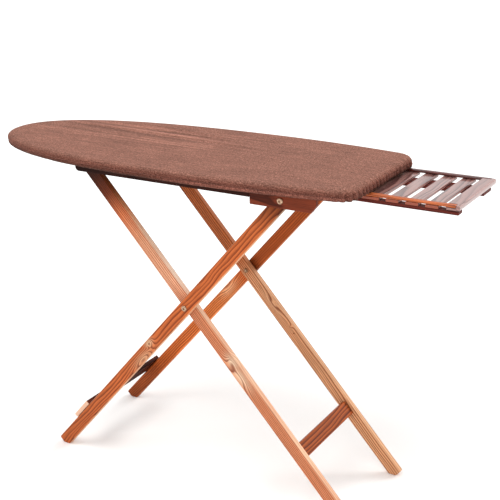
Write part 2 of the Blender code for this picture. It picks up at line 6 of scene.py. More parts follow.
import bmesh
import bpy
import numpy as np
from mathutils import Matrix, Vector, noise


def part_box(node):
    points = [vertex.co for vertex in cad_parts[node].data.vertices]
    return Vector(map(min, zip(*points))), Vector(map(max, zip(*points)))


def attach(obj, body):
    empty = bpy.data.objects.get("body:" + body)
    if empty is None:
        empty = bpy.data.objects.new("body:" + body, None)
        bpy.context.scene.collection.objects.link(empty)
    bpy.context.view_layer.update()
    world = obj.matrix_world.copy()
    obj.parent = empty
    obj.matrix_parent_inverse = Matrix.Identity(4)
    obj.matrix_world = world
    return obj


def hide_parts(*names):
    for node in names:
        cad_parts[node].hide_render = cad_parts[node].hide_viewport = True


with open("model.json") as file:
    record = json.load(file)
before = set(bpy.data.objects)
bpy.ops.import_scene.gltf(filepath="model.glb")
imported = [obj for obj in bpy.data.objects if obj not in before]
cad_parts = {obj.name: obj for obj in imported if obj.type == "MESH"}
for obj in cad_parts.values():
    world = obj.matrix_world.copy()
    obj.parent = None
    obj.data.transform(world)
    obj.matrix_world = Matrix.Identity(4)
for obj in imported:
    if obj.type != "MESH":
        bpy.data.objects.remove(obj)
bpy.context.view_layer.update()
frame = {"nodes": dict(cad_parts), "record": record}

# ---- places taken from the CAD model ------------------------------------------------------------
JOINTS = {joint["name"]: joint for joint in frame["record"]["behaviour"]["joints"]}
PIVOT = Vector(JOINTS["leg_fold"]["pos_m"])
CROSS = Vector(JOINTS["leg_cross"]["pos_m"])
LEG_ANGLE = (PIVOT - CROSS).angle(Vector((1, 0, 0)))
ACROSS_OUTER_LEG = Vector((-sin(LEG_ANGLE), 0, cos(LEG_ANGLE)))
LEG_HALF_WIDTH = max((vertex.co - CROSS).dot(ACROSS_OUTER_LEG)
                     for vertex in frame["nodes"]["outer_leg_near"].data.vertices)
COVER_LOW, COVER_HIGH = (Vector(corner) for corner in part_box("fabric_cover"))
PANEL_LOW, PANEL_HIGH = (Vector(corner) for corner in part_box("ironing_panel"))
PAD_LOW, PAD_HIGH = (Vector(corner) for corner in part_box("felt_pad"))
SLAT_LOW, SLAT_HIGH = (Vector(corner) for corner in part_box("rest_slat_1"))
SLAT_HALF_LENGTH = (SLAT_HIGH.y - SLAT_LOW.y) / 2

# ---- the cover's dimensions ----------------------------------------------------------------------
WIDEST_X = CROSS.x + 0.037
HALF_WIDTH_AT_END = 0.183
CORNER_RADIUS = 0.048
CORNER_POWER = 2.2
NOSE_LENGTH_POWER = 2.65
NOSE_WIDTH_POWER = 2.15
OUTLINE_POINTS = 1440
TOP_RINGS = 34
EDGE_INSET = 0.016          # how far in from the outline the top starts to roll over
EDGE_DROP = 0.0105
EDGE_LENGTH = 0.0210        # of the cloth over that roll
PUCKER_DEPTH = 0.0008
HEM_BAND = 0.0090           # height of the elastic band at the foot of the skirt
HEM_LIP = 0.012
CLOTH_THICKNESS = 0.0008
PLEAT_PITCH = 0.017
PLEAT_DEPTH = 0.0058
FOLD_HEIGHT = 0.0090
THREAD_PITCH = 0.0011       # of the weave

# ---- the wood's dimensions -----------------------------------------------------------------------
SHADE_REACH = 0.75          # how far either side of a piece's centre its shade stops may lie
HIGHLIGHT_EDGE_WIDTH = 0.0020          # width of the painted highlight beside a leg's narrow face
END_GRAIN = 0.0016          # how far in from a piece's end its end grain colour starts
COAT_DEPTH = 0.0006         # how far below a slat's top its varnish coat reaches


# ---- colours and shader graphs -------------------------------------------------------------------
def srgb(red, green, blue):
    """A linear colour from 0 to 255 display values."""
    linear = []
    for value in (red, green, blue):
        value /= 255
        linear.append(value / 12.92 if value <= 0.04045 else ((value + 0.055) / 1.055) ** 2.4)
    return (*linear, 1.0)


class Graph:
    """A material's node graph, with one short call for each kind of node."""

    def __init__(self, name, roughness, metallic=0.0, coat=0.0, coat_roughness=0.2, specular=0.5):
        self.material = bpy.data.materials.new(name)
        self.material.use_nodes = True
        self.tree = self.material.node_tree
        self.shader = self.tree.nodes["Principled BSDF"]
        self.shader.inputs["Roughness"].default_value = roughness
        self.shader.inputs["Metallic"].default_value = metallic
        self.shader.inputs["Coat Weight"].default_value = coat
        self.shader.inputs["Coat Roughness"].default_value = coat_roughness
        self.shader.inputs["Specular IOR Level"].default_value = specular

    def node(self, kind, **settings):
        made = self.tree.nodes.new(kind)
        for key, value in settings.items():
            setattr(made, key, value)
        return made

    def put(self, socket, value):
        if isinstance(value, bpy.types.NodeSocket):
            self.tree.links.new(value, socket)
        else:
            socket.default_value = value

    def math(self, operation, first, second=0.0, third=None, clamp=False):
        made = self.node("ShaderNodeMath", operation=operation, use_clamp=clamp)
        self.put(made.inputs[0], first)
        self.put(made.inputs[1], second)
        if third is not None:
            self.put(made.inputs[2], third)
        return made.outputs[0]

    def add(self, first, second):
        return self.math("ADD", first, second)

    def times(self, first, second):
        return self.math("MULTIPLY", first, second)

    def vector(self, x, y, z):
        made = self.node("ShaderNodeCombineXYZ")
        for socket, value in zip(made.inputs, (x, y, z)):
            self.put(socket, value)
        return made.outputs[0]

    def stretched(self, place, along, across):
        """A place scaled by one amount along the grain and by another across it."""
        return self.vector(self.times(place[0], along), self.times(place[1], across),
                           self.times(place[2], across))

    def noise(self, vector, scale=1.0, detail=2.0, roughness=0.5):
        made = self.node("ShaderNodeTexNoise")
        self.put(made.inputs["Vector"], vector)
        made.inputs["Scale"].default_value = scale
        made.inputs["Detail"].default_value = detail
        made.inputs["Roughness"].default_value = roughness
        return made.outputs["Fac"]

    def ramp(self, value, *stops):
        """Stops are (position, colour) or (position, grey)."""
        made = self.node("ShaderNodeValToRGB")
        elements = made.color_ramp.elements
        elements.remove(elements[1])
        for number, (position, colour) in enumerate(stops):
            element = elements.new(position) if number else elements[0]
            element.position = position
            element.color = colour if hasattr(colour, "__len__") else (colour, colour, colour, 1)
        self.put(made.inputs[0], value)
        return made.outputs["Color"]

    def mix(self, share, first, second, blend="MIX"):
        made = self.node("ShaderNodeMix", data_type="RGBA", blend_type=blend)
        self.put(made.inputs["Factor"], share)
        self.put(made.inputs[6], first)
        self.put(made.inputs[7], second)
        return made.outputs[2]

    def bump(self, height, distance, strength=1.0, under=None):
        made = self.node("ShaderNodeBump")
        made.inputs["Strength"].default_value = strength
        made.inputs["Distance"].default_value = distance
        self.put(made.inputs["Height"], height)
        if under is not None:
            self.put(made.inputs["Normal"], under)
        return made.outputs["Normal"]

    def finish(self, colour, roughness=None, normal=None):
        self.put(self.shader.inputs["Base Color"], colour)
        if roughness is not None:
            self.put(self.shader.inputs["Roughness"], roughness)
        if normal is not None:
            self.put(self.shader.inputs["Normal"], normal)
        return self.material


def piece_axes(graph, centre, turn):
    """Distances along a piece's grain, across it and through it, in metres, as three sockets."""
    place = graph.node("ShaderNodeTexCoord").outputs["Object"]
    mapping = graph.node("ShaderNodeMapping", vector_type="TEXTURE")
    graph.put(mapping.inputs["Vector"], place)
    mapping.inputs["Location"].default_value = centre
    mapping.inputs["Rotation"].default_value = turn
    split = graph.node("ShaderNodeSeparateXYZ")
    graph.put(split.inputs[0], mapping.outputs[0])
    return split.outputs[0], split.outputs[2], split.outputs[1]


# stain colours: pale early wood, red-brown late wood, and the pale of knots and of the painted edge
# highlight on legs
ORANGE = {"early": srgb(208, 108, 56), "late": srgb(100, 36, 14), "pale": srgb(240, 196, 154)}
TAWNY = {"early": srgb(226, 146, 104), "late": srgb(140, 62, 34), "pale": srgb(252, 220, 186)}
TAN = {"early": srgb(232, 170, 124), "late": srgb(132, 70, 40), "pale": srgb(236, 190, 150)}
AMBER = {"early": srgb(194, 96, 42), "late": srgb(106, 42, 16), "pale": srgb(216, 144, 96)}
BROWN = {"early": srgb(132, 58, 34), "late": srgb(66, 24, 12), "pale": srgb(176, 104, 70)}
# a dark stain, darkened further as painted shade for the battens under the board
SHADED_DARK = {"early": srgb(54, 24, 16), "late": srgb(28, 11, 8), "pale": srgb(84, 44, 30)}
# a dark red-brown, darker than the near strip's stain as painted shade for the far strip and the
# rails
SHADED_RUSSET = {"early": srgb(104, 40, 30), "late": srgb(58, 18, 14), "pale": srgb(130, 70, 58)}
UMBER = {"early": srgb(164, 118, 110), "late": srgb(76, 40, 38), "pale": srgb(176, 140, 134)}


def wood(name, colours, centre=(0, 0, 0), turn=(0, 0, 0), pith=(0.03, 0.02), slope=0.02,
         ring=0.0052, knots=(), seed=0.0, contrast=0.8, gloss=0.46, coat=0.0, polish=0.22,
         specular=0.10, shade=(), ends=None, edge_highlight=0.0, coat_from=None):
    """Stained pine.  Growth rings run round a pith line beside the piece, and knots bend them.

    pith is where that line passes, across and through the piece, and slope is how fast it drifts.
    A knot is (along, across, length, width, rings, paleness).  shade paints shade and light along
    the piece, as (along, brightness or tint) stops: a stop below 1 is painted shadow, and one
    above 1 paints the piece paler.  ends is (half length, end grain colour).  edge_highlight is
    how pale a leg's narrow faces and their edges are painted, a painted highlight.  coat_from is
    the height in the piece above which the varnish coat lies, where only the top has been
    varnished.
    """
    graph = Graph(name, gloss, coat=coat, coat_roughness=polish, specular=specular)
    along, across, through = piece_axes(graph, centre, turn)
    shifted = graph.add(along, seed)
    place = (shifted, across, through)
    slow = graph.stretched(place, 2.6, 9)
    sway = graph.math("SUBTRACT", graph.noise(slow, 1.0, 2.0), 0.5)
    lift = graph.math("SUBTRACT", graph.noise(slow, 2.7, 2.0), 0.5)
    from_pith = graph.add(graph.add(across, -pith[0]), graph.times(shifted, slope))
    from_pith = graph.add(from_pith, graph.times(sway, 0.016))
    beside_pith = graph.add(graph.add(through, -pith[1]), graph.times(lift, 0.010))
    radius = graph.math("SQRT", graph.add(graph.times(from_pith, from_pith),
                                          graph.times(beside_pith, beside_pith)))
    rings = graph.times(radius, 1 / ring)
    paleness = None
    for knot_along, knot_across, length, width, bulge, pale in knots:
        one = graph.times(graph.add(along, -knot_along), 1 / length)
        two = graph.times(graph.add(across, -knot_across), 1 / width)
        away = graph.add(graph.times(one, one), graph.times(two, two))
        near = graph.math("EXPONENT", graph.times(away, -1.0))
        rings = graph.add(rings, graph.times(near, bulge))
        share = graph.times(near, pale)
        paleness = share if paleness is None else graph.math("MAXIMUM", paleness, share)
    uneven = graph.noise(graph.vector(graph.times(rings, 0.45), shifted, seed), 1.0, 1.0)
    rings = graph.add(rings, graph.times(uneven, 1.3))
    late = graph.ramp(graph.math("FRACT", rings), (0.0, 0.22), (0.10, 0.0), (0.45, 0.18),
                      (0.80, 0.85), (0.93, 1.0), (1.0, 0.22))
    fibre = graph.noise(graph.stretched(place, 11, 430), 1.0, 3.0, 0.6)
    patch = graph.noise(graph.stretched(place, 7, 30), 1.0, 2.0)
    share = graph.times(late, graph.math("MULTIPLY_ADD", patch, 0.9, contrast - 0.45))
    colour = graph.mix(share, colours["early"], colours["late"])
    if paleness is not None:
        colour = graph.mix(graph.math("MINIMUM", paleness, 0.9), colour,
                           graph.mix(graph.times(late, 0.85), colours["pale"], colours["late"]))
    colour = graph.mix(0.75, colour, graph.ramp(fibre, (0.30, 0.66), (0.52, 1.0), (0.70, 1.22)),
                       "MULTIPLY")
    colour = graph.mix(0.6, colour, graph.ramp(patch, (0.3, 0.80), (0.7, 1.15)), "MULTIPLY")
    pores = graph.ramp(graph.noise(graph.stretched(place, 60, 1300), 1.0, 1.0),
                       (0.27, 0.72), (0.36, 1.0))
    colour = graph.mix(1.0, colour, pores, "MULTIPLY")
    # painted highlight: a leg's narrow faces and the band beside them are painted pale
    if edge_highlight:
        painted_edge_light = graph.math("MULTIPLY_ADD", graph.math("ABSOLUTE", across), 1 / HIGHLIGHT_EDGE_WIDTH,
                            (HIGHLIGHT_EDGE_WIDTH - LEG_HALF_WIDTH) / HIGHLIGHT_EDGE_WIDTH, clamp=True)
        painted_edge_light = graph.times(painted_edge_light, graph.math("MULTIPLY_ADD", patch, 0.8, edge_highlight - 0.4, clamp=True))
        colour = graph.mix(painted_edge_light, colour, colours["pale"])
    # painted shade and light: the stops darken or lighten the colour along the piece
    if shade:
        stops = [((spot + SHADE_REACH) / (2 * SHADE_REACH), tint) for spot, tint in shade]
        share = graph.math("MULTIPLY_ADD", along, 1 / (2 * SHADE_REACH), 0.5)
        colour = graph.mix(1.0, colour, graph.ramp(share, *stops), "MULTIPLY")
    if ends is not None:
        at_end = graph.math("GREATER_THAN", graph.math("ABSOLUTE", along), ends[0] - END_GRAIN)
        colour = graph.mix(at_end, colour, ends[1])
    if coat_from is not None:
        graph.put(graph.shader.inputs["Coat Weight"],
                  graph.times(graph.math("GREATER_THAN", across, coat_from), coat))
    rough = graph.math("MULTIPLY_ADD", fibre, 0.26, gloss - 0.12)
    relief = graph.add(graph.times(late, -0.5), graph.times(fibre, 0.6))
    return graph.finish(colour, rough, graph.bump(relief, 0.00035, 0.7))


def woven_cloth():
    """The cover's cloth: a plain weave of slubby threads, read in the cloth's flat layout."""
    graph = Graph("cover_cloth", 0.90, specular=0.10)
    graph.shader.inputs["Sheen Weight"].default_value = 0.10
    graph.shader.inputs["Sheen Roughness"].default_value = 0.45
    graph.shader.inputs["Sheen Tint"].default_value = srgb(226, 190, 172)
    flat = graph.node("ShaderNodeAttribute", attribute_name="flat_layout").outputs["Vector"]
    split = graph.node("ShaderNodeSeparateXYZ")
    graph.put(split.inputs[0], flat)
    warp, weft = split.outputs[0], split.outputs[1]
    down = split.outputs[2]
    ridge = graph.math("SINE", graph.times(warp, 2 * pi / THREAD_PITCH))
    rung = graph.math("SINE", graph.times(weft, 2 * pi / THREAD_PITCH))
    half_warp = graph.math("SINE", graph.times(warp, pi / THREAD_PITCH))
    half_weft = graph.math("SINE", graph.times(weft, pi / THREAD_PITCH))
    over = graph.times(half_warp, half_weft)
    weave = graph.add(graph.times(graph.add(ridge, rung), 0.25), graph.times(over, 0.5))

    def flecks(along, across, seed, detail, roughness=0.5):
        place = graph.vector(graph.times(warp, along), graph.times(weft, across), seed)
        return graph.noise(place, 1.0, detail, roughness)

    slub = flecks(34, 560, 0.0, 3.0, 0.65)
    slub_across = flecks(420, 60, 4.0, 2.0, 0.6)
    speck = flecks(300, 380, 9.0, 2.0, 0.7)
    streak = flecks(9, 210, 6.0, 3.0, 0.6)
    cloud = flecks(9, 22, 2.0, 3.0)
    mottle = flecks(120, 210, 3.0, 2.0, 0.65)
    colour = graph.ramp(speck, (0.30, srgb(90, 53, 44)), (0.50, srgb(137, 92, 78)),
                        (0.72, srgb(186, 136, 118)))
    colour = graph.mix(0.9, colour, graph.ramp(slub, (0.30, 0.66), (0.5, 1.0), (0.72, 1.36)),
                       "MULTIPLY")
    colour = graph.mix(0.6, colour, graph.ramp(slub_across, (0.3, 0.76), (0.7, 1.22)),
                       "MULTIPLY")
    colour = graph.mix(0.8, colour, graph.ramp(streak, (0.34, 0.78), (0.5, 1.0), (0.68, 1.24)),
                       "MULTIPLY")
    colour = graph.mix(0.8, colour, graph.ramp(cloud, (0.3, 0.84), (0.7, 1.14)), "MULTIPLY")
    colour = graph.mix(0.8, colour, graph.ramp(mottle, (0.34, 0.68), (0.5, 1.0), (0.66, 1.33)),
                       "MULTIPLY")
    # painted shade and light in long streaks over the cloth's folds in the far half of the top
    along_fold = graph.math("MULTIPLY_ADD", warp, 1 / 0.30, (0.26 - CROSS.x) / 0.30)
    across_fold = graph.math("MULTIPLY_ADD", weft, 1 / 0.10, -0.07 / 0.10)
    away = graph.add(graph.times(along_fold, along_fold), graph.times(across_fold, across_fold))
    painted_fold_share = graph.math("EXPONENT", graph.times(away, -1.0))
    crease = graph.noise(graph.vector(graph.times(warp, 1.6), graph.math(
        "MULTIPLY_ADD", warp, 2.6, graph.times(weft, 46)), 8.0), 1.0, 2.0, 0.55)
    colour = graph.mix(painted_fold_share, colour, graph.mix(1.0, colour, graph.ramp(
        crease, (0.36, 0.46), (0.45, 0.86), (0.54, 1.12), (0.63, 1.70)), "MULTIPLY"))
    colour = graph.mix(0.35, colour, graph.ramp(graph.math("MULTIPLY_ADD", weave, 0.5, 0.5),
                                                (0.1, 0.62), (0.7, 1.12)), "MULTIPLY")
    # painted shade makes the sides darker than the top, darkest towards the foot; along the square
    # half of them a painted highlight makes the hem band paler, with painted shade in the crease
    # above it
    depth = graph.times(down, 1 / 0.05)
    plain = graph.ramp(depth, (0.16, 1.0), (0.36, (0.72, 0.60, 0.58, 1)),
                       (0.54, (0.50, 0.36, 0.34, 1)), (0.70, 0.30))
    side_shade_and_band_light = graph.ramp(depth, (0.16, 1.0), (0.36, (0.68, 0.56, 0.54, 1)),
                        (0.515, (0.46, 0.33, 0.32, 1)), (0.55, (0.90, 0.74, 0.73, 1)),
                        (0.66, (0.82, 0.66, 0.65, 1)), (0.72, 0.35))
    has_band = graph.times(
        graph.math("MULTIPLY_ADD", warp, 1 / 0.11, -(CROSS.x - 0.06) / 0.11, clamp=True),
        graph.math("MULTIPLY_ADD", warp, -1 / 0.03, (COVER_HIGH.x + 0.012) / 0.03, clamp=True))
    colour = graph.mix(1.0, colour, graph.mix(has_band, plain, side_shade_and_band_light), "MULTIPLY")
    fine = graph.bump(weave, 0.00022, 0.8)
    coarse = graph.bump(graph.add(slub, graph.times(slub_across, 0.6)), 0.0006, 0.8, fine)
    return graph.finish(colour, None, coarse)


def felt():
    graph = Graph("pad_felt", 0.95, specular=0.1)
    place = graph.node("ShaderNodeTexCoord").outputs["Object"]
    tuft = graph.noise(place, 900, 3.0, 0.7)
    cloud = graph.noise(place, 30, 2.0)
    colour = graph.ramp(tuft, (0.3, srgb(176, 172, 164)), (0.7, srgb(222, 219, 211)))
    colour = graph.mix(0.4, colour, graph.ramp(cloud, (0.3, 0.85), (0.7, 1.05)), "MULTIPLY")
    return graph.finish(colour, None, graph.bump(tuft, 0.0006))


def plywood():
    """Bare birch ply, seen from below: plain face veneer with faint arches and dark core lines."""
    graph = Graph("panel_plywood", 0.62, specular=0.3)
    along, up, across = piece_axes(graph, (0, 0, PANEL_LOW.z), (0, 0, 0))
    slow = graph.vector(graph.times(along, 1.6), graph.times(across, 7), 0.0)
    arches = graph.math("FRACT", graph.times(graph.noise(slow, 1.0, 2.0), 24))
    fibre = graph.noise(graph.vector(graph.times(along, 14), graph.times(across, 520),
                                     graph.times(up, 520)), 1.0, 3.0)
    colour = graph.ramp(arches, (0.0, srgb(186, 142, 98)), (0.7, srgb(172, 124, 82)),
                        (0.95, srgb(150, 102, 64)), (1.0, srgb(186, 142, 98)))
    plies = graph.math("FRACT", graph.times(up, 1 / 0.0024))
    colour = graph.mix(0.4, colour, graph.ramp(plies, (0.0, 0.6), (0.12, 1.0), (0.9, 0.95)),
                       "MULTIPLY")
    colour = graph.mix(0.7, colour, graph.ramp(fibre, (0.3, 0.80), (0.7, 1.12)), "MULTIPLY")
    return graph.finish(colour, None, graph.bump(fibre, 0.0003, 0.6))


def plated_metal(name, bright, dull, roughness=0.27):
    """Plated steel with fine grit and small worn patches."""
    graph = Graph(name, roughness, metallic=1.0)
    place = graph.node("ShaderNodeTexCoord").outputs["Object"]
    wear = graph.noise(place, 420, 3.0, 0.65)
    grit = graph.noise(place, 2600, 2.0, 0.6)
    colour = graph.ramp(wear, (0.36, dull), (0.56, bright))
    rough = graph.math("MULTIPLY_ADD", grit, 0.22, roughness - 0.08)
    return graph.finish(colour, rough, graph.bump(grit, 0.00006, 0.5))


def nylon():
    graph = Graph("washer_nylon", 0.5)
    place = graph.node("ShaderNodeTexCoord").outputs["Object"]
    haze = graph.noise(place, 300, 3.0)
    colour = graph.ramp(haze, (0.3, srgb(214, 208, 194)), (0.7, srgb(234, 230, 219)))
    return graph.finish(colour, None, graph.bump(haze, 0.0001, 0.4))


def thread():
    """Stitching thread, twisted along each stitch."""
    graph = Graph("hem_thread", 0.7, specular=0.3)
    place = graph.node("ShaderNodeTexCoord").outputs["Object"]
    twist = graph.noise(place, 1900, 2.0)
    colour = graph.ramp(twist, (0.3, srgb(120, 76, 64)), (0.7, srgb(176, 128, 112)))
    return graph.finish(colour, None, graph.bump(twist, 0.0001))


# ---- making pieces -------------------------------------------------------------------------------
def add_piece(name, mesh, body, material, replaces=(), smooth=35):
    """Put a finished mesh in the scene as one piece that rides on a CAD body."""
    mesh.name = name
    mesh.materials.clear()
    mesh.materials.append(material)
    piece = bpy.data.objects.new(name, mesh)
    bpy.context.scene.collection.objects.link(piece)
    mesh.shade_smooth()
    mesh.set_sharp_from_angle(angle=radians(smooth))
    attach(piece, body)
    if replaces:
        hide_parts(*replaces)
    return piece


def mesh_from(name, bm):
    bmesh.ops.recalc_face_normals(bm, faces=bm.faces)
    mesh = bpy.data.meshes.new(name)
    bm.to_mesh(mesh)
    bm.free()
    return mesh


def applied(mesh, *modifiers):
    """The mesh after some modifiers.  Each is (kind, settings)."""
    carrier = bpy.data.objects.new("carrier", mesh)
    bpy.context.scene.collection.objects.link(carrier)
    for kind, settings in modifiers:
        modifier = carrier.modifiers.new(kind.lower(), kind)
        for key, value in settings.items():
            setattr(modifier, key, value)
    bpy.context.view_layer.update()
    evaluated = carrier.evaluated_get(bpy.context.evaluated_depsgraph_get())
    result = bpy.data.meshes.new_from_object(evaluated)
    bpy.data.objects.remove(carrier, do_unlink=True)
    return result


def joined_cad_mesh(node):
    """A copy of a CAD node's mesh with its triangles merged back into whole faces."""
    bm = bmesh.new()
    bm.from_mesh(frame["nodes"][node].data)
    bmesh.ops.remove_doubles(bm, verts=bm.verts, dist=0.00001)
    bmesh.ops.dissolve_limit(bm, angle_limit=radians(1), verts=bm.verts, edges=bm.edges)
    return mesh_from(node, bm)


def wooden(node, body, material, name=None, hole=None):
    """A wooden piece in a CAD node's place, its rounded edges shaded smooth and true."""
    mesh = joined_cad_mesh(node)
    if hole is not None:
        mesh = applied(mesh, ("BOOLEAN", {"object": hole, "solver": "EXACT"}))
    piece = add_piece(name or node + "_wood", mesh, body, material, (node,), smooth=40)
    weighted = piece.modifiers.new("true_faces", "WEIGHTED_NORMAL")
    weighted.keep_sharp = True
    weighted.weight = 80
    return piece


def turned_mesh(name, rings, sides=36):
    """A turned mesh about +Z.  A ring is (radius, height, hex share), 1 being a hexagon."""
    bm = bmesh.new()
    loops = []
    for radius, height, hexness in rings:
        if radius == 0:
            loops.append([bm.verts.new((0, 0, height))])
            continue
        loop = []
        for step in range(sides):
            turn = 2 * pi * step / sides
            flat = cos(pi / 6) / cos((turn % (pi / 3)) - pi / 6)
            reach = radius * (1 - hexness + hexness * flat)
            loop.append(bm.verts.new((reach * cos(turn), reach * sin(turn), height)))
        loops.append(loop)
    for lower, upper in zip(loops, loops[1:]):
        for step in range(sides):
            after = (step + 1) % sides
            if len(lower) == 1:
                bm.faces.new((lower[0], upper[step], upper[after]))
            elif len(upper) == 1:
                bm.faces.new((lower[step], upper[0], lower[after]))
            else:
                bm.faces.new((lower[step], upper[step], upper[after], lower[after]))
    return mesh_from(name, bm)


def place_turned(mesh, place, outwards):
    """Move a turned mesh so that its +Z points outwards from a place."""
    turn = Vector((0, 0, 1)).rotation_difference(Vector(outwards)).to_matrix().to_4x4()
    mesh.transform(Matrix.Translation(place) @ turn)
    return mesh


def domed_head(radius, height, socket, depth):
    """Rings of a domed head with a hexagon socket, from the middle outwards and down."""
    rings = [(0, height - depth, 0), (socket * 0.96, height - depth, 1),
             (socket, height - 0.0003, 1), (socket * 1.12, height, 0.6)]
    start, rim, steps = socket * 1.3, 0.0007, 8
    for step in range(steps + 1):
        turn = (pi / 2) * step / steps
        rings.append((start + (radius - start) * sin(turn), rim + (height - rim) * cos(turn), 0))
    return rings


# ---- camera, light and floor ---------------------------------------------------------------------
def add_camera():
    yaw, pitch, roll = radians(31.99), radians(19.95), radians(1.66)
    forward = Vector((-sin(yaw) * cos(pitch), cos(yaw) * cos(pitch), -sin(pitch)))
    level = Vector((cos(yaw), sin(yaw), 0))
    down = forward.cross(level)
    right = level * cos(roll) + down * sin(roll)
    down = down * cos(roll) - level * sin(roll)
    data = bpy.data.cameras.new("camera")
    data.sensor_width = 36
    data.lens = 74.46
    data.clip_end = 200
    camera = bpy.data.objects.new("camera", data)
    bpy.context.scene.collection.objects.link(camera)
    axes = Matrix((right, -down, -forward)).transposed()
    place = CROSS + Vector((1.4273, -2.1308, 1.0311))
    camera.matrix_world = Matrix.Translation(place) @ axes.to_4x4()
    bpy.context.scene.camera = camera


def add_sun(name, towards, strength, angle):
    data = bpy.data.lights.new(name, "SUN")
    data.energy = strength
    data.angle = radians(angle)
    sun = bpy.data.objects.new(name, data)
    sun.rotation_euler = Vector(towards).to_track_quat("-Z", "Y").to_euler()
    bpy.context.scene.collection.objects.link(sun)


def add_stage():
    bpy.context.scene.view_settings.view_transform = "Standard"
    world = bpy.data.worlds.new("studio")
    bpy.context.scene.world = world
    world.use_nodes = True
    background = world.node_tree.nodes["Background"]
    background.inputs["Color"].default_value = (1, 1, 1, 1)
    background.inputs["Strength"].default_value = 0.84
    add_sun("key", (0.10, 0.38, -1.0), 1.10, 32)
    add_sun("back", (-0.46, -0.74, -0.56), 1.35, 30)
    bm = bmesh.new()
    bmesh.ops.create_grid(bm, x_segments=2, y_segments=2, size=60)
    floor_mesh = mesh_from("floor", bm)
    graph = Graph("floor_paint", 0.85, specular=0.1)
    place = graph.node("ShaderNodeTexCoord").outputs["Object"]
    shade = graph.noise(place, 0.8, 2.0)
    floor_mesh.materials.append(graph.finish(
        graph.ramp(shade, (0.3, srgb(249, 249, 248)), (0.7, srgb(252, 252, 251)))))
    floor = bpy.data.objects.new("floor", floor_mesh)
    floor.location.z = -0.0003
    bpy.context.scene.collection.objects.link(floor)


# ---- the cover -----------------------------------------------------------------------------------
def board_outline(count):
    """Evenly spaced points round the board, anticlockwise from the nose, and outward directions."""
    nose_x, end_x, half_width = COVER_LOW.x, COVER_HIGH.x, COVER_HIGH.y
    side = []
    for turn in np.linspace(0, pi / 2, 400, endpoint=False):
        x = WIDEST_X - (WIDEST_X - nose_x) * cos(turn) ** (2 / NOSE_LENGTH_POWER)
        side.append((x, half_width * sin(turn) ** (2 / NOSE_WIDTH_POWER)))
    corner_x = end_x - CORNER_RADIUS

    def taper(x):
        along = (x - WIDEST_X) / (end_x - WIDEST_X)
        return half_width - (half_width - HALF_WIDTH_AT_END) * along ** 2

    side += [(x, taper(x)) for x in np.linspace(WIDEST_X, corner_x, 200, endpoint=False)]
    for turn in np.linspace(0, pi / 2, 160):
        x = corner_x + CORNER_RADIUS * sin(turn) ** (2 / CORNER_POWER)
        drop = CORNER_RADIUS * (1 - max(cos(turn), 0) ** (2 / CORNER_POWER))
        side.append((x, taper(x) - drop))
    near = np.array([(x, -y) for x, y in side])
    far = np.array([(x, y) for x, y in side[:0:-1]])
    ring = np.vstack((near, far, near[:1]))
    length = np.concatenate(([0], np.cumsum(np.hypot(*np.diff(ring, axis=0).T))))
    even = np.linspace(0, length[-1], count, endpoint=False)
    points = np.column_stack([np.interp(even, length, ring[:, axis]) for axis in (0, 1)])
    along = np.roll(points, -1, axis=0) - np.roll(points, 1, axis=0)
    for _ in range(6):
        along = (np.roll(along, 1, axis=0) + 2 * along + np.roll(along, -1, axis=0)) / 4
    along /= np.hypot(*along.T)[:, None]
    outward = np.column_stack((along[:, 1], -along[:, 0]))
    return points, outward, even


def ease(value, low, high):
    share = np.clip((value - low) / (high - low), 0, 1)
    return share * share * (3 - 2 * share)


def wander(values, pitch, seed):
    """Smooth wandering from -1 to 1 along a line."""
    return np.array([noise.noise(Vector((value / pitch, seed, 0.5))) * 1.6 for value in values])


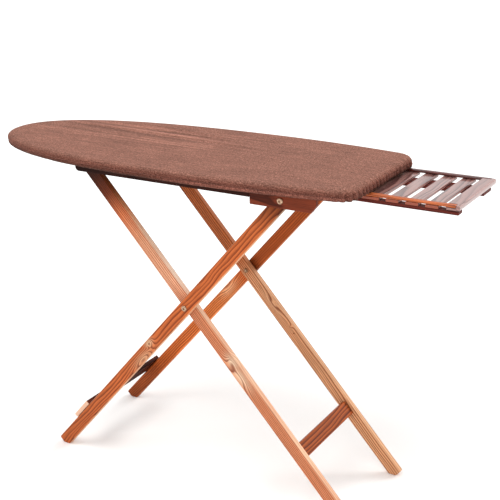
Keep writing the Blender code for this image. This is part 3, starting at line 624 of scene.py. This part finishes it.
class Cover:
    """Works out where each point of the cloth lies, ring by ring from the middle to the hem."""

    def __init__(self):
        self.points, self.outward, self.length = board_outline(OUTLINE_POINTS)
        self.top = COVER_HIGH.z
        self.foot = COVER_LOW.z
        x, y = self.points.T
        end = ease(x, COVER_HIGH.x - 0.060, COVER_HIGH.x - 0.012)
        nose = ease(-x, -COVER_LOW.x - 0.16, -COVER_LOW.x)
        phase = self.length / PLEAT_PITCH + 0.35 * wander(self.length, 0.05, 3.1)
        ridge = np.abs(np.sin(pi * phase)) ** 0.75
        lean = 0.75 + 0.35 * wander(self.length, 0.035, 7.7)
        near_corner = 1 + 0.45 * ease(-y, 0.04, 0.16)
        self.pleats = PLEAT_DEPTH * ridge * lean * (0.06 + 0.94 * end + 0.10 * nose) * near_corner
        self.pucker = (1 - ridge) * (0.05 + 0.95 * end)
        self.band = 0.25 + 0.75 * ease(x, CROSS.x - 0.06, CROSS.x + 0.05)
        self.ripple = 0.0006 * wander(self.length, 0.03, 11.3)
        self.spine = np.column_stack((np.clip(x, COVER_LOW.x + 0.19, COVER_HIGH.x - 0.15),
                                      np.zeros(len(x))))

    def fold_height(self, x, y):
        """Long soft folds that run along the board, in the far half of the top by the nose."""
        x, y = x - CROSS.x, y - 0.10 + 0.05 * x
        reach = exp(-((x + 0.26) / 0.30) ** 2 - (y / 0.085) ** 2)
        drift = noise.noise(Vector((x * 2.4, y * 9, 4.4)))
        wave = noise.noise(Vector((x * 1.5 + 3.3, y * 46 + drift * 1.6, 8.1)))
        return FOLD_HEIGHT * reach * max(0.0, wave + 0.05)

    def ring(self, inset, height, pleat=0.0, band=0.0, down=0.0):
        """A ring inset from the outline.  down is the cloth's length below the top's edge."""
        out = -inset + pleat * self.pleats + band * self.band * 0.0015
        out = out + self.ripple * min(1, pleat + 0.3)
        flat = self.points + self.outward * out[:, None]
        place = np.column_stack((flat, np.full(len(flat), height)))
        layout = self.points + self.outward * (down - EDGE_INSET)
        return place, np.column_stack((layout, np.full(len(layout), down)))

    def rings(self):
        made = []
        lip, _ = self.ring(EDGE_INSET + 0.003, self.top)
        for step in range(TOP_RINGS + 1):
            share = step / TOP_RINGS
            flat = self.spine + (lip[:, :2] - self.spine) * share
            height = np.full(len(flat), self.top)
            pucker = PUCKER_DEPTH * self.pucker * ease(np.full(len(flat), share), 0.90, 1.0)
            for index, (x, y) in enumerate(flat):
                place = Vector((x * 3.2, y * 13, 1.7))
                wave = noise.noise(place) * 0.0006 + noise.noise(place * 2.7) * 0.0003
                height[index] += (wave - 0.0003) * (1 - 0.4 * share)
                height[index] += self.fold_height(x, y) * (1 - share ** 6) - pucker[index]
            made.append((np.column_stack((flat, height)),
                         np.column_stack((flat, np.zeros(len(flat))))))
        steps = 9
        for step in range(1, steps + 1):
            turn = (pi / 2) * step / steps
            inset = EDGE_INSET * (1 - sin(turn)) - 0.0010 * sin(turn)
            height = self.top - EDGE_DROP * (1 - cos(turn))
            place, flat = self.ring(inset, height, 0.62 * (step / steps), 0,
                                    EDGE_LENGTH * step / steps)
            place[:, 2] -= PUCKER_DEPTH * self.pucker * cos(turn)
            made.append((place, flat))
        skirt_top = self.top - EDGE_DROP
        crease = self.foot + HEM_BAND
        below = EDGE_LENGTH
        for share in (0.35, 0.7, 0.92, 1.0):
            height = skirt_top + (crease - skirt_top) * share
            inset = -0.0010 + 0.0013 * share ** 2
            made.append(self.ring(inset, height, 0.62 + 0.38 * share, 0,
                                  below + skirt_top - height))
        for share in (0.06, 0.18, 0.36, 0.56, 0.74, 0.88):
            height = crease + (self.foot + 0.0012 - crease) * share
            bulge = sin(pi * min(1.0, share * 1.05)) ** 0.6
            made.append(self.ring(0.0003, height, 1.0, bulge, below + skirt_top - height))
        below += skirt_top - self.foot
        for turn in (0.3, 0.65, 1.0):
            angle = (pi / 2) * turn
            made.append(self.ring(0.0003 + 0.0016 * (1 - cos(angle)),
                                  self.foot + 0.0013 * (1 - sin(angle)) + 0.0001, 1.0, 0.3, below))
        for share in (0.25, 0.5, 0.75, 1.0):
            made.append(self.ring(0.0019 + (HEM_LIP - 0.0019) * share, self.foot + 0.0001,
                                  1.0 - share * 0.7, 0.3 * (1 - share), below + HEM_LIP * share))
        return made


def add_cover():
    cover = Cover()
    rings = cover.rings()
    count = OUTLINE_POINTS
    places = np.vstack([place for place, _ in rings])
    layout = np.vstack([flat for _, flat in rings])
    faces = []
    for ring in range(len(rings) - 1):
        start = ring * count
        for step in range(count):
            after = (step + 1) % count
            faces.append((start + step, start + count + step, start + count + after,
                          start + after))
    mesh = bpy.data.meshes.new("cover")
    mesh.from_pydata(places.tolist(), [], faces)
    attribute = mesh.attributes.new("flat_layout", "FLOAT_VECTOR", "POINT")
    attribute.data.foreach_set("vector", layout.astype(np.float32).ravel())
    bm = bmesh.new()
    bm.from_mesh(mesh)
    bmesh.ops.remove_doubles(bm, verts=bm.verts, dist=0.00002)
    bmesh.ops.recalc_face_normals(bm, faces=bm.faces)
    if max(bm.faces, key=lambda face: face.calc_area()).normal.z < 0:
        bmesh.ops.reverse_faces(bm, faces=bm.faces)
    bm.to_mesh(mesh)
    bm.free()
    mesh = applied(mesh, ("SOLIDIFY", {"thickness": CLOTH_THICKNESS, "offset": -1,
                                       "use_even_offset": True}))
    piece = add_piece("cover", mesh, "board", woven_cloth(), ("fabric_cover",), 60)
    stitches = add_stitching(cover)


def add_stitching(cover):
    """A line of stitches just above the hem band, each a short thread proud of the cloth."""
    base, _ = cover.ring(-0.0002, cover.foot + HEM_BAND + 0.0012, 0.9)
    outward = np.column_stack((cover.outward, np.zeros(len(base))))
    pitch, length, radius = 0.0042, 0.0030, 0.00034
    total = cover.length[-1] + cover.length[1]
    bm = bmesh.new()
    for number in range(int(total / pitch)):
        middle = number * pitch / total * len(base)
        ends = []
        for offset in (-0.5, -0.25, 0.0, 0.25, 0.5):
            index = middle + offset * length / total * len(base)
            low, share = int(index // 1) % len(base), index % 1
            high = (low + 1) % len(base)
            point = base[low] * (1 - share) + base[high] * share
            lift = radius * (1.0 - 6.0 * offset * offset)
            ends.append((Vector(point + outward[low] * lift), 1.0 - 2.2 * offset * offset))
        along = (ends[-1][0] - ends[0][0]).normalized()
        first = Vector(outward[int(middle) % len(base)])
        second = along.cross(first)
        loops = []
        for point, size in ends:
            loops.append([bm.verts.new(point + (first * cos(turn) + second * sin(turn))
                                       * radius * size)
                          for turn in (0, pi / 3, 2 * pi / 3, pi, 4 * pi / 3, 5 * pi / 3)])
        for lower, upper in zip(loops, loops[1:]):
            for step in range(6):
                after = (step + 1) % 6
                bm.faces.new((lower[step], upper[step], upper[after], lower[after]))
        bm.faces.new(loops[0])
        bm.faces.new(loops[-1][::-1])
    return add_piece("hem_stitching", mesh_from("hem_stitching", bm), "board", thread(),
                     smooth=60)


def add_pad():
    """The felt layer under the cover, its upper edge rounded over."""
    points, outward, _ = board_outline(480)
    low, high = PAD_LOW.z, PAD_HIGH.z
    inset = COVER_HIGH.x - PAD_HIGH.x
    spine = np.column_stack((np.clip(points[:, 0], COVER_LOW.x + 0.19, COVER_HIGH.x - 0.15),
                             np.zeros(len(points))))
    rings = []
    profile = [(inset + 0.0150 * (1 - sin(turn)), high - 0.0085 * (1 - cos(turn)))
               for turn in np.linspace(0, pi / 2, 8)]
    profile += [(inset, low + 0.0008), (inset + 0.0008, low)]
    for share in (0.0, 0.5, 0.8):
        flat = spine + (points - outward * profile[0][0] - spine) * share
        rings.append(np.column_stack((flat, np.full(len(flat), high))))
    for distance, height in profile:
        flat = points - outward * distance
        rings.append(np.column_stack((flat, np.full(len(flat), height))))
    for share in (0.8, 0.0):
        flat = spine + (points - outward * (inset + 0.0008) - spine) * share
        rings.append(np.column_stack((flat, np.full(len(flat), low))))
    count = len(points)
    bm = bmesh.new()
    loops = [[bm.verts.new(point) for point in ring.tolist()] for ring in rings]
    for lower, upper in zip(loops, loops[1:]):
        for step in range(count):
            after = (step + 1) % count
            bm.faces.new((lower[step], upper[step], upper[after], lower[after]))
    bmesh.ops.remove_doubles(bm, verts=bm.verts, dist=0.00002)
    piece = add_piece("pad", mesh_from("pad", bm), "board", felt(), ("felt_pad",), 50)


# ---- wooden pieces -------------------------------------------------------------------------------
def cross_turn(angle):
    """The turn that lays the grain along Y for a piece square to a leg pair."""
    turn = Matrix.Rotation(angle, 3, "Y") @ Matrix.Rotation(pi / 2, 3, "Z")
    return turn.to_euler()


def add_legs():
    outer_turn, inner_turn = (0, -LEG_ANGLE, 0), (0, LEG_ANGLE, 0)
    # The shade stops paint the board's and blocks' shadow on the legs' tops, painted shadow at the
    # far outer leg's crossing and towards its foot, and painted light that makes the near inner leg
    # paler along its middle; the far outer leg is also paler and less red along its middle.
    wooden("outer_leg_near", "outer_legs", wood(
        "pine_outer_near", ORANGE, CROSS, outer_turn, pith=(0.085, -0.045), slope=0.010,
        ring=0.0036, seed=3.4, contrast=0.8, edge_highlight=0.55,
        shade=((-0.62, 0.9), (-0.3, 1.0), (0.33, 1.05), (0.40, 0.55), (0.44, 0.3)),
        knots=[(-0.173, 0.008, 0.016, 0.010, 3.8, 1.0), (-0.225, -0.008, 0.045, 0.013, 3.2, 0.6)]))
    wooden("outer_leg_far", "outer_legs", wood(
        "pine_outer_far", AMBER, CROSS, outer_turn, pith=(-0.085, 0.045), slope=0.010,
        ring=0.0050, seed=8.1, contrast=0.9, edge_highlight=0.35,
        shade=((-0.66, 0.60), (-0.60, 0.90), (-0.47, 1.15), (-0.35, (1.50, 1.70, 1.90, 1)),
               (-0.12, (1.60, 2.20, 2.90, 1)), (-0.02, 1.35), (0.005, 0.30), (0.05, 0.92),
               (0.20, 1.0), (0.32, 0.8), (0.41, 0.3)),
        knots=[(-0.10, 0.004, 0.040, 0.014, 2.0, 0.8)]))
    wooden("inner_leg_near", "inner_legs", wood(
        "pine_inner_near", TAWNY, CROSS, inner_turn, pith=(0.085, -0.045), slope=-0.012,
        ring=0.0044, seed=5.7, contrast=1.0, edge_highlight=0.42,
        shade=((-0.42, (0.08, 0.04, 0.02, 1)), (-0.36, (0.26, 0.14, 0.08, 1)),
               (-0.29, (0.92, 0.72, 0.58, 1)), (-0.20, (1.15, 1.45, 1.70, 1)),
               (-0.08, (1.20, 1.60, 2.00, 1)), (0.05, 1.0)),
        knots=[(0.182, 0.008, 0.024, 0.013, 3.4, 1.0), (0.225, 0.002, 0.040, 0.016, 3.0, 0.85)]))
    hole = hole_cutter()
    wooden("inner_leg_far", "inner_legs", wood(
        "pine_inner_far", TAN, CROSS, inner_turn, pith=(-0.085, 0.045), slope=0.012,
        ring=0.0052, seed=1.9, contrast=1.0, edge_highlight=0.3,
        shade=((-0.42, (0.10, 0.05, 0.03, 1)), (-0.34, (0.34, 0.18, 0.10, 1)),
               (-0.26, (0.56, 0.32, 0.18, 1)), (-0.04, (0.70, 0.42, 0.26, 1)), (0.03, 1.0)),
        knots=[(0.198, 0.006, 0.006, 0.008, 1.8, -0.4), (0.12, 0.004, 0.040, 0.010, 2.0, 0.5)]),
        hole=hole)
    bpy.data.objects.remove(hole, do_unlink=True)
    # painted shade: the plank is darkened nearly to black along most of its length, and the inner
    # stretcher a little, for the shade they sit in
    wooden("outer_stretcher", "outer_legs", wood(
        "pine_outer_stretcher", BROWN, CROSS, cross_turn(-LEG_ANGLE), pith=(0.03, 0.66),
        slope=0.02, ring=0.0054, seed=2.2, contrast=0.8, coat=0.0, specular=0.05,
        shade=((-0.17, 0.9), (-0.12, 0.35), (0.10, 0.16), (0.16, 0.4)),
        ends=(0.1695, srgb(232, 186, 158))))
    wooden("inner_stretcher", "inner_legs", wood(
        "pine_inner_stretcher", AMBER, CROSS, cross_turn(LEG_ANGLE), pith=(0.02, -0.41),
        slope=0.02, ring=0.0050, seed=6.3, contrast=0.95, shade=((-0.17, 0.62), (0.17, 0.8))))
    wooden("top_bar", "inner_legs", wood(
        "pine_top_bar", ORANGE, CROSS, (0, 0, pi / 2), pith=(0.34, 0.30), ring=0.004, seed=4.4))


def hole_cutter():
    """A small screw hole in the inner face of the far inner leg, below the crossing."""
    along, across = 0.2176, 0.0048
    place = CROSS + Vector((along * cos(LEG_ANGLE) + across * sin(LEG_ANGLE), 0,
                            across * cos(LEG_ANGLE) - along * sin(LEG_ANGLE)))
    place.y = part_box("inner_leg_far")[0][1]
    mesh = turned_mesh("hole", [(0, -0.006, 0), (0.0021, -0.006, 0), (0.0021, 0.002, 0),
                                (0, 0.002, 0)], 20)
    place_turned(mesh, place, (0, -1, 0))
    cutter = bpy.data.objects.new("hole_cutter", mesh)
    bpy.context.scene.collection.objects.link(cutter)
    return cutter


def add_board_wood():
    for number, node in enumerate(("pivot_block_near", "pivot_block_far")):
        wooden(node, "board", wood("block_wood_%d" % number, BROWN, PIVOT, (0, 0, 0),
                                   pith=(0.05, 0.3 - 0.6 * number), slope=0.03, ring=0.0060,
                                   seed=2.0 + number, contrast=0.9))
    # the battens under the board take the dark stain made darker still as painted shade
    for number, node in enumerate(("runner_near", "runner_far", "notch_rack_near",
                                   "notch_rack_far", "rest_guide_near", "rest_guide_far")):
        wooden(node, "board", wood("batten_wood_%d" % number, SHADED_DARK, PIVOT, (0, 0, 0),
                                   pith=(0.04, 0.25), slope=0.02, seed=5.0 + number,
                                   ring=0.0050, gloss=0.6, coat=0.0, specular=0.08))
    wooden("rest_stop", "board", wood("stop_wood", SHADED_DARK, PIVOT, (0, 0, pi / 2), seed=9.0))
    frame["nodes"]["ironing_panel"].data.materials.clear()
    frame["nodes"]["ironing_panel"].data.materials.append(plywood())


def add_rest_wood():
    def middle(node):
        low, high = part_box(node)
        return (low + high) / 2

    coat_from = (SLAT_HIGH.z - SLAT_LOW.z) / 2 - COAT_DEPTH
    for number in range(1, 7):
        node = "rest_slat_%d" % number
        wooden(node, "iron_rest", wood("slat_wood_%d" % number, UMBER, middle(node),
                                       (0, 0, pi / 2), pith=(0.03 - 0.06 * (number % 2), 0.02),
                                       slope=0.02, ring=0.0050, seed=1.7 * number, contrast=0.85,
                                       gloss=0.30, coat=1.0, polish=0.12, specular=0.5,
                                       ends=(SLAT_HALF_LENGTH, srgb(150, 70, 44)),
                                       coat_from=coat_from))
    for number, node in enumerate(("rest_end_bar", "rest_tail_bar")):
        wooden(node, "iron_rest", wood("bar_wood_%d" % number, UMBER, middle(node),
                                       (0, 0, pi / 2), pith=(0.03, 0.03), ring=0.0056,
                                       seed=7.7 + number, contrast=0.5, gloss=0.30, coat=1.0,
                                       polish=0.12, specular=0.5))
    wooden("rest_strip_near", "iron_rest", wood(
        "strip_wood_near", ORANGE, middle("rest_strip_near"), (0, 0, 0), pith=(0.02, 0.03),
        ring=0.0050, seed=3.1, contrast=0.8, coat=0.5))
    # painted shade: the far strip is the same wood as the near one, stained darker for the shade it
    # lies in
    wooden("rest_strip_far", "iron_rest", wood(
        "strip_wood_far", SHADED_RUSSET, middle("rest_strip_far"), (0, 0, 0), pith=(0.02, 0.03),
        ring=0.0050, seed=4.1, contrast=0.8, coat=1.0, polish=0.12))
    # painted shade: the rails are stained darker for the shade under the slats
    for number, node in enumerate(("rest_rail_near", "rest_rail_far")):
        wooden(node, "iron_rest", wood("rail_wood_%d" % number, SHADED_RUSSET, middle(node), (0, 0, 0),
                                       pith=(0.03, 0.03), ring=0.0056, seed=6.1 + number,
                                       contrast=0.8))


# ---- bolts, nuts, washers and screws -------------------------------------------------------------
def add_hardware():
    bolt_metal = plated_metal("bolt_plating", srgb(208, 174, 146), srgb(124, 94, 74))
    nut_metal = plated_metal("nut_plating", srgb(176, 136, 104), srgb(112, 80, 58), 0.36)
    screw_metal = plated_metal("screw_plating", srgb(186, 150, 98), srgb(112, 82, 50), 0.34)
    strap_metal = plated_metal("strap_steel", srgb(172, 173, 175), srgb(112, 112, 114), 0.38)
    washer = nylon()
    for node in ("rest_strap_rear", "rest_strap_front"):
        frame["nodes"][node].data.materials.clear()
        frame["nodes"][node].data.materials.append(strap_metal)
    for label, side in (("near", -1), ("far", 1)):
        for kind, body, centre in (("pivot", "board", PIVOT), ("cross", "outer_legs", CROSS)):
            add_bolt("%s_bolt_%s" % (kind, label), body, centre, side, bolt_metal)
            add_nut("%s_nut_%s" % (kind, label), body, centre, side, nut_metal)
            node = "%s_washer_%s" % (kind, label)
            frame["nodes"][node].data.materials.clear()
            frame["nodes"][node].data.materials.append(washer)
    for number in range(1, 5):
        add_plank_screw("stretcher_screw_%d" % number, screw_metal)
    return screw_metal


def add_bolt(node, body, centre, side, metal):
    """A bolt in its CAD node's place: domed head with a hexagon socket, and a threaded shank."""
    low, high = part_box(node)
    radius = (high[0] - low[0]) / 2
    outer, inner = (low[1], high[1]) if side < 0 else (high[1], low[1])
    head = 0.0035
    seat = outer - side * head
    shank = abs(inner - seat)
    rings = domed_head(radius, head, 0.0029, 0.0022)
    rings += [(radius - 0.0002, 0.0003, 0), (0.0030, 0.0003, 0)]
    thread_start, pitch = shank - 0.014, 0.00125
    rings.append((0.0030, -thread_start, 0))
    depth = thread_start
    while depth < shank - pitch - 0.0006:
        rings += [(0.0026, -(depth + pitch / 2), 0), (0.0030, -(depth + pitch), 0)]
        depth += pitch
    rings += [(0.0024, -shank, 0), (0, -shank, 0)]
    mesh = place_turned(turned_mesh(node, rings), (centre.x, seat, centre.z), (0, side, 0))
    add_piece(node + "_metal", mesh, body, metal, (node,))


def add_nut(node, body, centre, side, metal):
    """A round nut with a chamfered rim, open for the bolt's end."""
    low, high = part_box(node)
    radius = (high[0] - low[0]) / 2
    thickness = high[1] - low[1]
    rings = [(0.00318, 0, 0), (radius - 0.0006, 0, 0), (radius, 0.0006, 0),
             (radius, thickness - 0.0009, 0), (radius - 0.0009, thickness, 0),
             (0.0042, thickness, 0), (0.00318, thickness - 0.0008, 0), (0.00318, 0, 0)]
    outer = high[1] if side < 0 else low[1]
    start = low[1] if side < 0 else high[1]
    mesh = turned_mesh(node, rings)
    bm = bmesh.new()
    bm.from_mesh(mesh)
    bmesh.ops.remove_doubles(bm, verts=bm.verts, dist=0.000001)
    mesh = mesh_from(node, bm)
    place_turned(mesh, (centre.x, start, centre.z), (0, -side, 0))
    add_piece(node + "_metal", mesh, body, metal, (node,))


def cross_recess(mesh, place, outwards, size, depth):
    """Cut a cross-shaped driver recess into a screw's head."""
    bm = bmesh.new()
    for width, length in ((size * 0.28, size), (size, size * 0.28)):
        made = bmesh.ops.create_cube(bm, size=1.0)
        bmesh.ops.scale(bm, vec=(width, length, depth * 2), verts=made["verts"])
    cutter_mesh = mesh_from("recess", bm)
    place_turned(cutter_mesh, place, outwards)
    cutter = bpy.data.objects.new("recess", cutter_mesh)
    bpy.context.scene.collection.objects.link(cutter)
    result = applied(mesh, ("BOOLEAN", {"object": cutter, "solver": "EXACT", "use_self": True}))
    bpy.data.objects.remove(cutter, do_unlink=True)
    return result


def add_plank_screw(node, metal):
    """A countersunk cross-head screw that holds the plank to the outer legs."""
    outwards = ACROSS_OUTER_LEG
    points = [vertex.co for vertex in frame["nodes"][node].data.vertices]
    top = max(point.dot(outwards) for point in points)
    head = [point for point in points if point.dot(outwards) > top - 0.0001]
    centre = sum(head, Vector()) / len(head)
    rings = [(0, 0, 0), (0.0034, 0, 0), (0.0038, -0.0004, 0), (0.0019, -0.0024, 0),
             (0.0019, -0.0090, 0), (0.0004, -0.0098, 0), (0, -0.0098, 0)]
    mesh = place_turned(turned_mesh(node, rings, 28), centre, outwards)
    mesh = cross_recess(mesh, centre, outwards, 0.0040, 0.0012)
    add_piece(node + "_metal", mesh, "outer_legs", metal, (node,))


def add_small_screws(metal):
    """Heads of the screws that hold battens, straps and slats, seen only from below."""
    def heads(name, body, places, radius=0.0030):
        for number, place in enumerate(places):
            rings = [(0, 0.0004, 0), (radius * 0.55, 0.0004, 0), (radius, 0.0001, 0),
                     (radius, -0.0004, 0), (0, -0.0004, 0)]
            mesh = place_turned(turned_mesh(name, rings, 20), place, (0, 0, -1))
            mesh = cross_recess(mesh, Vector(place) - Vector((0, 0, 0.0004)), (0, 0, -1),
                                radius * 0.9, 0.0003)
            add_piece("%s_%d" % (name, number + 1), mesh, body, metal)

    places = []
    for node in ("rest_strap_rear", "rest_strap_front"):
        low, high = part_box(node)
        middle = (low[0] + high[0]) / 2
        places += [(middle, low[1] + 0.004, low[2]), (middle, high[1] - 0.004, low[2])]
    heads("strap_screw", "board", places)
    places = []
    for rail in ("rest_rail_near", "rest_rail_far"):
        rail_low, rail_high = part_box(rail)
        for bar in ["rest_slat_%d" % number for number in range(1, 7)] + ["rest_end_bar"]:
            low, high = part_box(bar)
            middle = min((low[0] + high[0]) / 2, rail_high[0] - 0.010)
            inset = (rail_high[1] - rail_low[1]) / 4
            places += [(middle, rail_low[1] + inset, rail_low[2]),
                       (middle, rail_high[1] - inset, rail_low[2])]
    heads("slat_screw", "iron_rest", places, 0.0024)


# ---- everything ----------------------------------------------------------------------------------
add_camera()
add_stage()
add_pad()
add_cover()
add_legs()
add_board_wood()
add_rest_wood()
add_small_screws(add_hardware())
